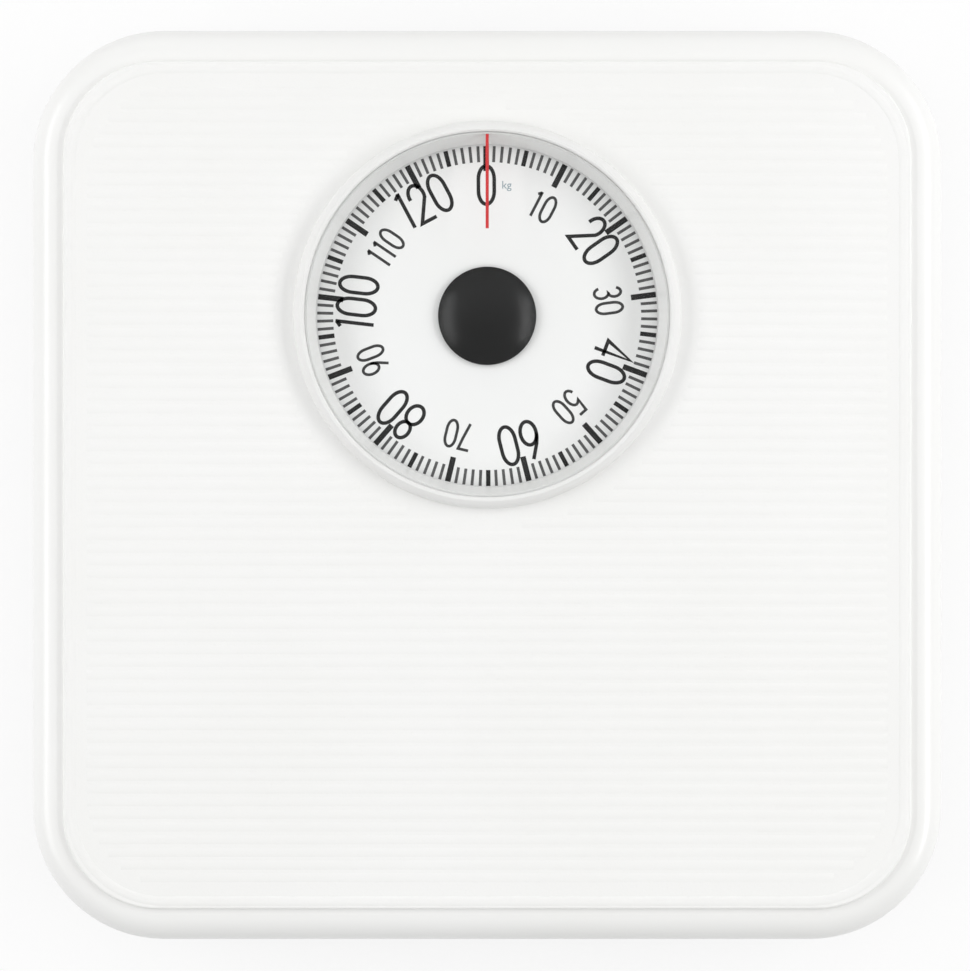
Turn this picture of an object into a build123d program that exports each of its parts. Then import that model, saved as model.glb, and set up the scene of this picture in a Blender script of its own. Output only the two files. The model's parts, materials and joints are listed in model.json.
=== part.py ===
from build123d import *
import os
from math import acos, atan2, cos, degrees, hypot, pi, radians, sin, sqrt, tan

os.makedirs("parts", exist_ok=True)

# Mechanical bathroom scale, in millimetres.
# +X is the user's right, +Y points away from the user, +Z is up.
# The origin is on the floor, under the middle of the platform.

# Platform
platform_width = 290.0
platform_depth = 290.0
platform_height = 54.0        # floor to the top of the foot mat
platform_corner = 42.0
platform_edge = 9.0           # rounding between the top and the skirt
skirt_bottom = 17.0
skirt_lip = 2.5               # hem turned inwards along the skirt's lower edge
sheet = 1.2                   # pressed steel of the platform and the tray
mat_thickness = 1.6
mat_margin = 11.0             # bare steel border around the mat
mat_corner = 30.0

# Tray and feet
tray_gap = 6.8                # from the tray's wall to the inside of the skirt
tray_corner = 34.0
tray_bend = 5.0
tray_rim = 27.0               # height of the tray's upper edge
foot_radius = 11.0
foot_height = 5.0
foot_stem = 4.0
foot_cap_radius = 6.5
foot_cap = 1.8
foot_round = 1.2
foot_dimple = 1.0             # hollow in the middle of the tread
foot_inset = 23.0             # from the tray's wall to the middle of a foot
bead_length = 120.0
bead_width = 9.0
bead_depth = 1.4
bead_spacing = 20.0
bead_side_x = 70.0            # beads that run front to back

# Dial
dial_clear = 1.9              # from the spring tower back to the dial's well
dial_opening = 54.4           # radius of the face that shows inside the well
disc_overlap = 1.6            # the disc runs on under the well's lower edge
disc_thickness = 0.8
disc_drop = 6.2               # the disc's face below the mat
hub_radius = 15.6
hub_height = 6.0
hub_rim = 1.3
hub_wall = 1.2
hub_socket = 3.5
collar_radius = 10.0
collar_height = 2.2
collar_spigot = 4.0
arbor_radius = 1.5
arbor_shoulder = 2.6
arbor_end = 2.0               # arbor above the disc, inside the hub cap

# Bezel, well and lens
well_clear = 0.6              # between the well and the disc at full load
well_flare = 2.35             # how far the well opens out on its way up
well_wall = 2.0
lens_seat_rise = 2.2          # the lens ledge above the mat
lens_ledge = 0.75
lens_thickness = 1.6
lens_crown = 2.5
seal_thickness = 0.5
seal_width = 0.6
bezel_rim = 0.3               # the bezel's crest above the lens rim
bezel_land = 0.8              # flat crest of the bezel
bezel_break = 0.5             # chamfer beside the lens
bezel_flank = 2.4             # from the crest out to the bezel's foot
lock_ring_width = 5.0
lock_ring_thickness = 1.2
pointer_start = 26.9
pointer_width = 1.0
pointer_thickness = 0.5
pointer_gap = 0.02            # film of adhesive under the lens

# Levers
load_arm = 25.0               # from a lever's fulcrum to its load pin
platform_travel = 1.25        # at full load
rear_fulcrum_inset_x = 50.0   # from the platform's outline
rear_fulcrum_inset_y = 45.0
front_fulcrum_inset_x = 40.0
front_fulcrum_inset_y = 52.0
fulcrum_rise = 11.8           # fulcrum pins above the tray's floor
nose_spread = 12.0            # long lever noses, either side of the middle
nose_setback = 12.0           # long lever noses, behind the spring's axis
lever_thickness = 2.5
lever_height = 11.0
lever_tail = 8.0
lever_cut = 2.5               # corners taken off the lever's tail
lever_boss_radius = 5.2
lever_boss_half = 3.7
nose_height = 6.0
nose_tip = 1.5                # half the width of the bearing tip under a nose
nose_step = 1.0               # tip below the nose's underside
seat_flat = 0.6               # flat cut into a long lever's top for its saddle
lever_pin_radius = 2.0
lever_pin_head = 3.2
lever_pin_head_thickness = 1.0

# Brackets
bracket_thickness = 1.5
bracket_ear_half = 5.5
bracket_foot_half = 13.0
load_bracket_half = 6.0
load_flange_half = 14.0
hook_depth = 1.5              # load bracket's legs reach this far below their pin
rivet_radius = 1.8
rivet_head_radius = 3.3
rivet_head = 0.9

# Nose saddles
saddle_thickness = 1.2
saddle_wall = 1.0
saddle_length = 9.0
saddle_wall_height = 3.6

# Calibrating plate
plate_thickness = 2.0
plate_margin = 6.0            # plate behind the lever noses
plate_front = 8.0             # plate in front of the spring's axis
plate_tongue_half = 5.0
plate_fall_gap = 1.3          # plate above the wheel at full load
ear_half = 4.0
ear_reach = 1.8

# Zero wheel, screw and spring tower
wheel_radius = 18.5
wheel_thickness = 5.0
wheel_proud = 5.5             # how far the wheel's rim stands out of the tray
wheel_lift = 1.8              # wheel above the tray's floor
wheel_flutes = 48
wheel_flute_radius = 0.8
wheel_edge = 0.6
wheel_rim = 3.0
wheel_hub = 6.0
wheel_dish = 1.4              # depth of the web below the rim
screw_radius = 2.5
screw_pitch = 0.8
screw_turns = 1.0             # each way from the middle
screw_head_radius = 4.5
screw_head = 0.9
screw_tip_step = 0.7          # the foot of the screw is turned down by this
bush_wall = 1.5
tower_half = 20.5             # inside of the tower's cheeks
tower_depth = 20.0
tower_thickness = 1.5
tower_foot = 10.0
hanger_thickness = 3.0
hanger_depth = 13.0

# Main spring
spring_wire = 1.9
spring_mean_radius = 7.05
spring_turns = 4
spring_plug = 3.6

# Dial drive
gear_module = 0.6
pinion_teeth = 12
pinion_width = 3.6
pressure_angle = 20.0
gear_backlash = 0.1
rack_addendum = 0.4           # stub teeth, so that a small pinion needs no undercut
pinion_addendum = 0.5
tooth_floor_gap = 0.15
rack_back = 2.5               # bar behind the tooth roots
rack_height = 3.5
crank_ahead = 34.3            # crank pivot in front of the dial's centre
crank_half_sweep = 34.5       # degrees each side of the middle
crank_thickness = 2.0
crank_hub_radius = 3.6
crank_arm_half = 2.3
finger_arm_half = 0.7
crank_pin_head = 0.9
crank_pivot_radius = 1.5
drive_pin_radius = 1.2
fork_prong = 2.4
finger_radius = 1.6
bridge_thickness = 1.6
bridge_half = 21.0
bridge_rear = 56.0            # from the dial's centre
bridge_front = 18.0
bridge_leg = 10.0
bridge_border = 5.0
bridge_web = 14.0             # deck left round the bush and along the rear edge
gear_room = 10.0              # from the bridge's top to the underside of the disc
bush_radius = 3.6
bush_length = 8.5
bush_flange_radius = 5.6
bush_flange = 1.0
bush_floor = 1.3
guide_width = 3.0
guide_length = 24.0
guide_lip = 1.4
guide_overhang = 1.2

# Rack return spring
return_wire = 0.5
return_mean_radius = 1.6
return_turns = 16
return_pitch = 1.0
return_peg = 2.4
return_post = 3.0

# Screws
screw_shank = 1.7
screw_top_radius = 3.2
screw_top = 1.3
screw_slot = 0.7

# Clearances
running_gap = 0.05            # pins and shafts in their bores
seat_gap = 0.3                # between parts that bear on each other and move
saddle_gap = 0.7              # beside a nose in a saddle that tilts
side_gap = 0.45               # beside a part that slides
pin_slot_gap = 0.12           # load pins in the platform's hooks
drive_slot_gap = 0.4          # drive pin in the rack's fork
snug_gap = 0.1                # parts pressed or screwed together

# Levels
tray_floor = foot_height + sheet
sheet_top = platform_height - mat_thickness
sheet_under = sheet_top - sheet
fulcrum_z = tray_floor + fulcrum_rise
wheel_bottom = tray_floor + wheel_lift
wheel_top = wheel_bottom + wheel_thickness
disc_top = platform_height - disc_drop
disc_under = disc_top - disc_thickness
bridge_top = disc_under - gear_room
rack_bottom = bridge_top + seat_gap
rack_top = rack_bottom + rack_height
tower_top = sheet_under - platform_travel - max(screw_head, lock_ring_thickness) - side_gap

# Plan places
tray_width = platform_width - 2 * (sheet + tray_gap)
tray_depth = platform_depth - 2 * (sheet + tray_gap)
spring_y = tray_depth / 2 + wheel_proud - wheel_radius
nose_y = spring_y - nose_setback
rear_fulcrum = (platform_width / 2 - rear_fulcrum_inset_x, rear_fulcrum_inset_y - platform_depth / 2)
front_fulcrum = (platform_width / 2 - front_fulcrum_inset_x, platform_depth / 2 - front_fulcrum_inset_y)

# The short lever meets the long one where both are equally far from their fulcrums,
# so one load arm serves all four levers.
lever_angle = platform_travel / load_arm
long_dx = nose_spread - rear_fulcrum[0]
long_dy = nose_y - rear_fulcrum[1]
long_length = hypot(long_dx, long_dy)
long_heading = degrees(atan2(long_dy, long_dx))
long_unit = (long_dx / long_length, long_dy / long_length)
span_x = front_fulcrum[0] - rear_fulcrum[0]
span_y = front_fulcrum[1] - rear_fulcrum[1]
short_length = (span_x ** 2 + span_y ** 2) / (2 * (span_x * long_unit[0] + span_y * long_unit[1]))
meeting = (rear_fulcrum[0] + short_length * long_unit[0], rear_fulcrum[1] + short_length * long_unit[1])
short_heading = degrees(atan2(meeting[1] - front_fulcrum[1], meeting[0] - front_fulcrum[0]))
load_pin_z = fulcrum_z + load_arm * lever_angle / 2
plate_travel = long_length * lever_angle
screw_travel = screw_pitch * screw_turns

# Brackets and hooks, measured across a lever
bracket_inner = lever_boss_half + seat_gap
bracket_outer = bracket_inner + bracket_thickness
bracket_rivet_side = (bracket_outer + bracket_foot_half) / 2
hook_inner = lever_boss_half + 2 * seat_gap
hook_outer = hook_inner + bracket_thickness
hook_rivet_side = (hook_outer + load_flange_half) / 2

# Plate, spring and crank levels
plate_low = wheel_top + plate_fall_gap
plate_bottom = plate_low + plate_travel
plate_top = plate_bottom + plate_thickness
long_nose_z = plate_top + saddle_thickness + seat_gap
long_slope = (long_nose_z - fulcrum_z) / long_length
meeting_top = fulcrum_z + short_length * long_slope + lever_height / 2 - seat_flat
short_nose_z = meeting_top + saddle_thickness + seat_gap
short_slope = (short_nose_z - fulcrum_z) / short_length
hanger_top = tower_top - tower_thickness - screw_travel - side_gap
hanger_bottom = hanger_top - hanger_thickness
plug_radius = spring_mean_radius - spring_wire / 2 - snug_gap

# The dial lies as near the spring tower as its well allows
well_top_radius = dial_opening + well_flare
lens_radius = well_top_radius + lens_ledge
bezel_crest_radius = lens_radius + bezel_break + bezel_land
bezel_foot_radius = bezel_crest_radius + bezel_flank
mat_hole_radius = bezel_crest_radius + bezel_flank / 2
well_outer_radius = bezel_crest_radius - bezel_land / 2
dial_y = spring_y - tower_depth / 2 - dial_clear - well_outer_radius
crank_y = dial_y + crank_ahead

# Dial drive
tooth_pitch = pi * gear_module
pitch_radius = gear_module * pinion_teeth / 2
rack_travel = 2 * pi * pitch_radius
half_sweep = radians(crank_half_sweep)
rack_arm = rack_travel / 2 / sin(half_sweep)
plate_arm = plate_travel / 2 / sin(half_sweep)
crank_z = plate_bottom - seat_gap - finger_radius - plate_travel / 2
rack_root_x = pitch_radius + pinion_addendum + tooth_floor_gap
rack_back_x = rack_root_x + rack_back
crank_x = rack_back_x + side_gap
crank_end_x = crank_x + crank_thickness
left_ear = (crank_x - seat_gap - bracket_thickness, crank_x - seat_gap)
right_ear = (crank_end_x + seat_gap, crank_end_x + seat_gap + bracket_thickness)
drive_pin_y = crank_y - rack_arm * sin(half_sweep)
drive_pin_z = crank_z + rack_arm * cos(half_sweep)
finger_y = crank_y + plate_arm * cos(half_sweep)
tongue_end = finger_y - finger_radius / 4
teeth_behind = pinion_teeth + 3
teeth_ahead = 3
rack_rear = dial_y - (teeth_behind + 0.5) * tooth_pitch
return_x = (rack_root_x + rack_back_x) / 2
return_z = (rack_bottom + rack_top) / 2
return_length = return_turns * return_pitch + return_wire
return_peg_radius = return_mean_radius - return_wire / 2 - running_gap
post_y = rack_rear - return_length - 2 * return_wire
arbor_foot = bridge_top - bush_length
arbor_top = disc_top + arbor_end

# Well and lens levels
disc_radius = dial_opening + disc_overlap
well_low = disc_top + platform_travel + well_clear
lens_rim_radius = lens_radius - snug_gap
seat_z = platform_height + lens_seat_rise
lens_rim_z = seat_z + seal_thickness
lens_rim_top = lens_rim_z + lens_thickness
bezel_crest_z = lens_rim_top + bezel_rim
hub_top = disc_top + hub_height


def block(x0, x1, y0, y1, z0, z1):
    """A box between two corners, given in either order."""
    size = [abs(b - a) for a, b in ((x0, x1), (y0, y1), (z0, z1))]
    return Pos((x0 + x1) / 2, (y0 + y1) / 2, (z0 + z1) / 2) * Box(*size)


def rod(radius, z0, z1, x=0, y=0):
    return Pos(x, y, (z0 + z1) / 2) * Cylinder(radius, z1 - z0)


def rod_along_x(radius, x0, x1, y, z):
    return Pos((x0 + x1) / 2, y, z) * Rot(0, 90, 0) * Cylinder(radius, x1 - x0)


def rod_along_y(radius, y0, y1, x, z):
    return Pos(x, (y0 + y1) / 2, z) * Rot(90, 0, 0) * Cylinder(radius, y1 - y0)


def slab(width, depth, corner, z0, z1):
    return extrude(Pos(0, 0, z0) * RectangleRounded(width, depth, corner), z1 - z0)


def mirrored(shape):
    return mirror(shape, about=Plane.YZ)


def both_sides(shapes):
    """Right-hand solids and their mirror images, as one group."""
    return Compound(children=[Compound(s.wrapped) for s in shapes + [mirrored(s) for s in shapes]])


def bottom_edges(shape):
    return shape.edges().group_by(Axis.Z)[0]


def top_edges(shape):
    return shape.edges().group_by(Axis.Z)[-1]


def turned_about_dial(section):
    return Pos(0, dial_y, 0) * revolve(section, Axis.Z)


def on_lever(fulcrum, heading, shape):
    """Place a shape drawn along local +X from a fulcrum at the origin."""
    return Location((fulcrum[0], fulcrum[1], 0), (0, 0, heading)) * shape


def along_lever(fulcrum, heading, distance, side):
    h = radians(heading)
    return (fulcrum[0] + distance * cos(h) - side * sin(h), fulcrum[1] + distance * sin(h) + side * cos(h))


# Right-hand places of what is fastened; the left side mirrors them
fulcrums = [(rear_fulcrum, long_heading), (front_fulcrum, short_heading)]
bracket_rivet_places = [along_lever(f, h, 0, s * bracket_rivet_side) for f, h in fulcrums for s in (-1, 1)]
hook_rivet_places = [along_lever(f, h, load_arm, s * hook_rivet_side) for f, h in fulcrums for s in (-1, 1)]
foot_places = [(tray_width / 2 - foot_inset, s * (tray_depth / 2 - foot_inset)) for s in (-1, 1)]
bridge_back_y = dial_y - bridge_rear
bridge_front_y = dial_y + bridge_front
screw_places = [(bridge_half + bridge_leg / 2, bridge_back_y + bridge_leg / 2),
                (bridge_half + bridge_leg / 2, bridge_front_y - bridge_leg / 2),
                (tower_half + tower_thickness + tower_foot / 2, spring_y)]


def holes_through_floor(places, radius):
    """Holes on both sides, through the tray and whatever foot plate stands on it."""
    top = tray_floor + 3 * bracket_thickness
    return [rod(radius, foot_height - 1, top, s * x, y) for x, y in places for s in (-1, 1)]


def tray_beads():
    """Pressed ribs as (x, y, turn in degrees)."""
    rear = foot_inset - tray_depth / 2
    return [(0, rear, 0), (0, rear + bead_spacing, 0), (bead_side_x, 0, 90), (-bead_side_x, 0, 90)]


def base_tray():
    outer = slab(tray_width, tray_depth, tray_corner, foot_height, tray_rim)
    outer = fillet(bottom_edges(outer), tray_bend)
    inner = slab(tray_width - 2 * sheet, tray_depth - 2 * sheet, tray_corner - sheet,
                 tray_floor, tray_rim + 1)
    tray = outer - fillet(bottom_edges(inner), tray_bend - sheet)
    for x, y, turn in tray_beads():
        place = Location((x, y, 0), (0, 0, turn))
        groove = place * Pos(0, 0, foot_height - 1) * SlotOverall(bead_length, bead_width)
        ridge = place * Pos(0, 0, foot_height) * SlotOverall(bead_length + 2 * sheet, bead_width + 2 * sheet)
        tray = tray + extrude(ridge, sheet + bead_depth) - extrude(groove, 1 + bead_depth)
    tray = tray - holes_through_floor(foot_places, foot_stem)
    tray = tray - holes_through_floor(bracket_rivet_places, rivet_radius)
    tray = tray - holes_through_floor(screw_places, screw_shank)
    wall_y = tray_depth / 2 - sheet
    half = sqrt(wheel_radius ** 2 - (wall_y - spring_y) ** 2) + 4 * side_gap
    return tray - block(-half, half, wall_y - tray_bend, wall_y + 2 * sheet,
                        wheel_bottom - side_gap, wheel_top + side_gap)


def rubber_feet():
    feet = []
    for x, y in foot_places:
        tread = fillet(bottom_edges(rod(foot_radius, 0, foot_height, x, y)), foot_round)
        tread = tread - rod(foot_radius / 2, -1, foot_dimple, x, y)
        cap = rod(foot_cap_radius, tray_floor, tray_floor + foot_cap, x, y)
        cap = chamfer(top_edges(cap), foot_cap / 2)
        feet.append(tread + rod(foot_stem, foot_height, tray_floor, x, y) + cap)
    return both_sides(feet)


def fulcrum_bracket():
    """A foot plate with two round-topped ears, drawn about a fulcrum at the origin."""
    half = bracket_ear_half
    bracket = block(-half, half, -bracket_foot_half, bracket_foot_half,
                    tray_floor, tray_floor + bracket_thickness)
    for s in (-1, 1):
        inner, outer = sorted((s * bracket_inner, s * bracket_outer))
        bracket = bracket + block(-half, half, inner, outer, tray_floor, fulcrum_z)
        bracket = bracket + rod_along_y(half, inner, outer, 0, fulcrum_z)
    bracket = bracket - rod_along_y(lever_pin_radius, -bracket_foot_half, bracket_foot_half, 0, fulcrum_z)
    high = tray_floor + 2 * bracket_thickness
    return bracket - [rod(rivet_radius, foot_height, high, 0, s * bracket_rivet_side) for s in (-1, 1)]


def fulcrum_brackets():
    return both_sides([on_lever(f, h, fulcrum_bracket()) for f, h in fulcrums])


def headed_pin(half_length, x, z):
    """A cross pin along local Y with a head at each end."""
    pin = rod_along_y(lever_pin_radius, -half_length, half_length, x, z)
    for s in (-1, 1):
        y0, y1 = sorted((s * half_length, s * (half_length + lever_pin_head_thickness)))
        pin = pin + rod_along_y(lever_pin_head, y0, y1, x, z)
    return pin


def fulcrum_pins():
    return both_sides([on_lever(f, h, headed_pin(bracket_outer, 0, fulcrum_z)) for f, h in fulcrums])


def load_pin(fulcrum, heading):
    return on_lever(fulcrum, heading, headed_pin(hook_outer + seat_gap, load_arm, load_pin_z))


def bracket_rivets():
    low = foot_height
    high = tray_floor + bracket_thickness
    rivets = []
    for x, y in bracket_rivet_places:
        rivet = rod(rivet_radius, low, high, x, y)
        rivet = rivet + rod(rivet_head_radius, low - rivet_head, low, x, y)
        rivets.append(rivet + rod(rivet_head_radius, high, high + rivet_head, x, y))
    return both_sides(rivets)


def hook_rivets():
    """Rivets whose upper ends are flush, so that the mat lies flat."""
    low = sheet_under - bracket_thickness
    rivets = []
    for x, y in hook_rivet_places:
        rivet = rod(rivet_radius, low, sheet_top, x, y)
        rivets.append(rivet + rod(rivet_head_radius, low - rivet_head, low, x, y))
    return both_sides(rivets)


def lever(length, slope, nose_z, nose_reach):
    """A bar on edge along local +X, with bosses at its two pins and a bearing tip under its nose."""
    half = lever_height / 2
    tail = -lever_tail
    step = length - nose_reach
    ramp = step - nose_height

    def middle(u):
        return fulcrum_z + slope * u

    under_nose = nose_z + nose_step
    over_nose = nose_z + nose_height
    outline = [(tail, middle(tail) - half + lever_cut), (tail + lever_cut, middle(tail) - half),
               (ramp, middle(ramp) - half), (step, under_nose), (length - nose_tip, under_nose),
               (length - nose_tip / 2, nose_z), (length + nose_tip / 2, nose_z),
               (length + nose_tip, under_nose), (length + nose_tip, over_nose), (step, over_nose),
               (ramp, middle(ramp) + half), (tail + lever_cut, middle(tail) + half),
               (tail, middle(tail) + half - lever_cut)]
    bar = extrude(Plane.XZ * make_face(Polyline(*outline, close=True)), lever_thickness / 2, both=True)
    for u, z in ((0, fulcrum_z), (load_arm, load_pin_z)):
        bar = bar + rod_along_y(lever_boss_radius, -lever_boss_half, lever_boss_half, u, z)
    bar = bar - rod_along_y(lever_pin_radius + running_gap, -hook_outer, hook_outer, 0, fulcrum_z)
    return bar - rod_along_y(lever_pin_radius, -hook_outer, hook_outer, load_arm, load_pin_z)


def long_lever():
    reach = plate_margin / abs(long_unit[1]) + 3 * nose_tip
    bar = lever(long_length, long_slope, long_nose_z, reach)
    bar = bar - block(short_length - saddle_length, short_length + saddle_length, -lever_thickness,
                      lever_thickness, meeting_top, meeting_top + lever_height)
    return on_lever(rear_fulcrum, long_heading, bar)


def short_lever():
    bar = lever(short_length, short_slope, short_nose_z, saddle_length + 2 * nose_tip)
    return on_lever(front_fulcrum, short_heading, bar)


def saddle(z):
    """A small channel, open at both ends, that a lever's nose lies in."""
    inner = lever_thickness / 2 + saddle_gap
    outer = inner + saddle_wall
    seat = z + saddle_thickness
    channel = block(-saddle_length / 2, saddle_length / 2, -outer, outer, z, seat + saddle_wall_height)
    return channel - block(-saddle_length, saddle_length, -inner, inner, seat, seat + 2 * saddle_wall_height)


def nose_saddle():
    return on_lever(meeting, short_heading, saddle(meeting_top))


def plate_saddles():
    return both_sides([on_lever((nose_spread, nose_y), long_heading, saddle(plate_top))])


def load_bracket():
    """A flange under the platform with two legs that hook over a load pin from above."""
    half = load_bracket_half
    bracket = block(-half, half, -load_flange_half, load_flange_half,
                    sheet_under - bracket_thickness, sheet_under)
    low = load_pin_z - lever_pin_radius - hook_depth
    for s in (-1, 1):
        bracket = bracket + block(-half, half, s * hook_inner, s * hook_outer, low, sheet_under)
    slot = lever_pin_radius + pin_slot_gap
    bracket = bracket - rod_along_y(slot, -load_flange_half, load_flange_half, 0, load_pin_z)
    bracket = bracket - block(-slot, slot, -load_flange_half, load_flange_half, low - 1, load_pin_z)
    under = sheet_under - 2 * bracket_thickness
    return bracket - [rod(rivet_radius, under, sheet_top, 0, s * hook_rivet_side) for s in (-1, 1)]


def load_brackets():
    return both_sides([on_lever(f, h, Pos(load_arm, 0, 0) * load_bracket()) for f, h in fulcrums])


def platform_shell():
    outer = slab(platform_width, platform_depth, platform_corner, skirt_bottom, sheet_top)
    outer = fillet(top_edges(outer), platform_edge)
    inner = slab(platform_width - 2 * sheet, platform_depth - 2 * sheet, platform_corner - sheet,
                 skirt_bottom + sheet, sheet_under)
    inner = fillet(top_edges(inner), platform_edge - sheet)
    lip = sheet + skirt_lip
    mouth = slab(platform_width - 2 * lip, platform_depth - 2 * lip, platform_corner - lip,
                 skirt_bottom - sheet, skirt_bottom + 2 * sheet)
    shell = outer - inner - mouth - rod(well_outer_radius, sheet_under - 1, sheet_top + 1, 0, dial_y)
    return shell - [rod(rivet_radius, sheet_under - 1, sheet_top + 1, s * x, y)
                    for x, y in hook_rivet_places for s in (-1, 1)]


def foot_mat():
    mat = slab(platform_width - 2 * mat_margin, platform_depth - 2 * mat_margin, mat_corner,
               sheet_top, platform_height)
    mat = fillet(top_edges(mat), mat_thickness / 2)
    return mat - rod(mat_hole_radius, sheet_top - 1, platform_height + 1, 0, dial_y)


def dial_bezel():
    """The ring round the lens and the flared well that ends just above the disc, in one piece."""
    rise = bezel_crest_z - platform_height
    flank = (bezel_crest_radius + 0.72 * bezel_flank, platform_height + 0.62 * rise)
    with BuildSketch(Plane.XZ) as section:
        with BuildLine():
            Polyline((bezel_foot_radius, platform_height), (mat_hole_radius - seat_gap, platform_height),
                     (mat_hole_radius - seat_gap, sheet_top), (well_outer_radius, sheet_top),
                     (well_outer_radius, sheet_under - lock_ring_thickness),
                     (dial_opening + well_wall, well_low), (dial_opening, well_low),
                     (well_top_radius, seat_z), (lens_radius, seat_z),
                     (lens_radius, bezel_crest_z - bezel_break),
                     (lens_radius + bezel_break, bezel_crest_z), (bezel_crest_radius, bezel_crest_z))
            ThreePointArc((bezel_crest_radius, bezel_crest_z), flank, (bezel_foot_radius, platform_height))
        make_face()
    return turned_about_dial(section.sketch)


def bezel_lock_ring():
    z0 = sheet_under - lock_ring_thickness
    ring = rod(well_outer_radius + lock_ring_width, z0, sheet_under, 0, dial_y)
    return ring - rod(well_outer_radius, z0 - 1, sheet_under + 1, 0, dial_y)


def lens_seal():
    ring = rod(lens_rim_radius, seat_z, lens_rim_z, 0, dial_y)
    return ring - rod(lens_rim_radius - seal_width, seat_z - 1, lens_rim_z + 1, 0, dial_y)


def under_lens(radius):
    """Height of the lens's underside at a distance from its middle."""
    sphere = (lens_rim_radius ** 2 + lens_crown ** 2) / (2 * lens_crown)
    return lens_rim_z + lens_crown - sphere + sqrt(sphere ** 2 - radius ** 2)


def lens():
    middle = lens_rim_radius / 2
    points = [(r, under_lens(r)) for r in (0, middle, lens_rim_radius)]
    upper = [(r, z + lens_thickness) for r, z in points]
    with BuildSketch(Plane.XZ) as section:
        with BuildLine():
            Line(points[0], upper[0])
            ThreePointArc(*upper)
            Line(upper[2], points[2])
            ThreePointArc(*reversed(points))
        make_face()
    return turned_about_dial(section.sketch)


def red_pointer():
    """A strip bonded to the underside of the lens, from the rim inwards."""
    end = lens_rim_radius - seal_width - running_gap
    top = [(r, under_lens(r) - pointer_gap) for r in (pointer_start, (pointer_start + end) / 2, end)]
    low = [(r, z - pointer_thickness) for r, z in top]
    with BuildSketch(Plane.XZ) as section:
        with BuildLine():
            ThreePointArc(*top)
            Line(top[2], low[2])
            ThreePointArc(*reversed(low))
            Line(low[0], top[0])
        make_face()
    half = pointer_width / 2
    strip = block(-half, half, dial_y, dial_y + lens_radius, disc_top, lens_rim_top)
    return turned_about_dial(section.sketch) & strip


def dial_disc():
    disc = rod(disc_radius, disc_under, disc_top, 0, dial_y)
    return disc - rod(collar_spigot, disc_under - 1, disc_top + 1, 0, dial_y)


def disc_collar():
    collar = rod(collar_radius, disc_under - collar_height, disc_under, 0, dial_y)
    collar = collar + rod(collar_spigot, disc_under, disc_top, 0, dial_y)
    return collar - rod(arbor_radius, disc_under - 2 * collar_height, disc_top + 1, 0, dial_y)


def hub_cap():
    """A shallow hollow dome with a short rim, on a socket for the arbor's end."""
    rim_z = disc_top + hub_rim
    inner_radius = hub_radius - hub_wall
    inner_top = hub_top - hub_wall
    share = 0.6
    shoulder_z = rim_z + 0.72 * (hub_height - hub_rim)
    with BuildSketch(Plane.XZ) as section:
        with BuildLine():
            Line((0, inner_top), (0, hub_top))
            ThreePointArc((0, hub_top), (share * hub_radius, shoulder_z), (hub_radius, rim_z))
            Polyline((hub_radius, rim_z), (hub_radius, disc_top), (inner_radius, disc_top),
                     (inner_radius, rim_z))
            ThreePointArc((inner_radius, rim_z), (share * inner_radius, shoulder_z - hub_wall),
                          (0, inner_top))
        make_face()
    cap = turned_about_dial(section.sketch) + rod(hub_socket, disc_top, inner_top + hub_wall / 2, 0, dial_y)
    return cap - rod(arbor_radius, disc_top - 1, arbor_top, 0, dial_y)


def dial_arbor():
    shaft = rod(arbor_radius, arbor_foot, arbor_top, 0, dial_y)
    return shaft + rod(arbor_shoulder, rack_bottom + pinion_width, disc_under - collar_height, 0, dial_y)


def arbor_bush():
    bush = rod(bush_radius, arbor_foot - bush_floor, bridge_top, 0, dial_y)
    under_deck = bridge_top - bridge_thickness
    bush = bush + rod(bush_flange_radius, under_deck - bush_flange, under_deck, 0, dial_y)
    return bush - rod(arbor_radius + running_gap, arbor_foot - running_gap, bridge_top + 1, 0, dial_y)


def pinion_outline():
    """Involute teeth, one of them pointing along +X at rest."""
    base = pitch_radius * cos(radians(pressure_angle))
    tip = pitch_radius + pinion_addendum
    root = pitch_radius - rack_addendum - tooth_floor_gap
    half_at_pitch = (tooth_pitch / 2 - gear_backlash) / 2 / pitch_radius

    def unroll(r):
        return tan(acos(base / r)) - acos(base / r)

    flank = [base + (tip - base) * step / 3 for step in range(4)]
    side = [(r, half_at_pitch + unroll(pitch_radius) - unroll(r)) for r in flank]
    side = [(root, side[0][1])] + side
    points = []
    for tooth in range(pinion_teeth):
        middle = 2 * pi * tooth / pinion_teeth
        points += [(r * cos(middle - a), r * sin(middle - a)) for r, a in side]
        points += [(r * cos(middle + a), r * sin(middle + a)) for r, a in reversed(side)]
    return points


def dial_pinion():
    outline = make_face(Polyline(*pinion_outline(), close=True))
    gear = extrude(Pos(0, dial_y, rack_bottom) * outline, pinion_width)
    return gear - rod(arbor_radius, rack_bottom - 1, rack_top + 1, 0, dial_y)


def rack_outline():
    """A bar whose teeth face the pinion, with a tooth space at the pinion's level at rest."""
    lean = tan(radians(pressure_angle))
    half = (tooth_pitch / 2 - gear_backlash) / 2
    tip_x = pitch_radius - rack_addendum
    tip_half = half - rack_addendum * lean
    root_half = half + (rack_root_x - pitch_radius) * lean
    points = [(rack_back_x, drive_pin_y), (rack_back_x, rack_rear), (rack_root_x, rack_rear)]
    for k in range(-teeth_behind, teeth_ahead):
        y = dial_y + (k + 0.5) * tooth_pitch
        points += [(rack_root_x, y - root_half), (tip_x, y - tip_half), (tip_x, y + tip_half),
                   (rack_root_x, y + root_half)]
    return points + [(rack_root_x, drive_pin_y)]


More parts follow.
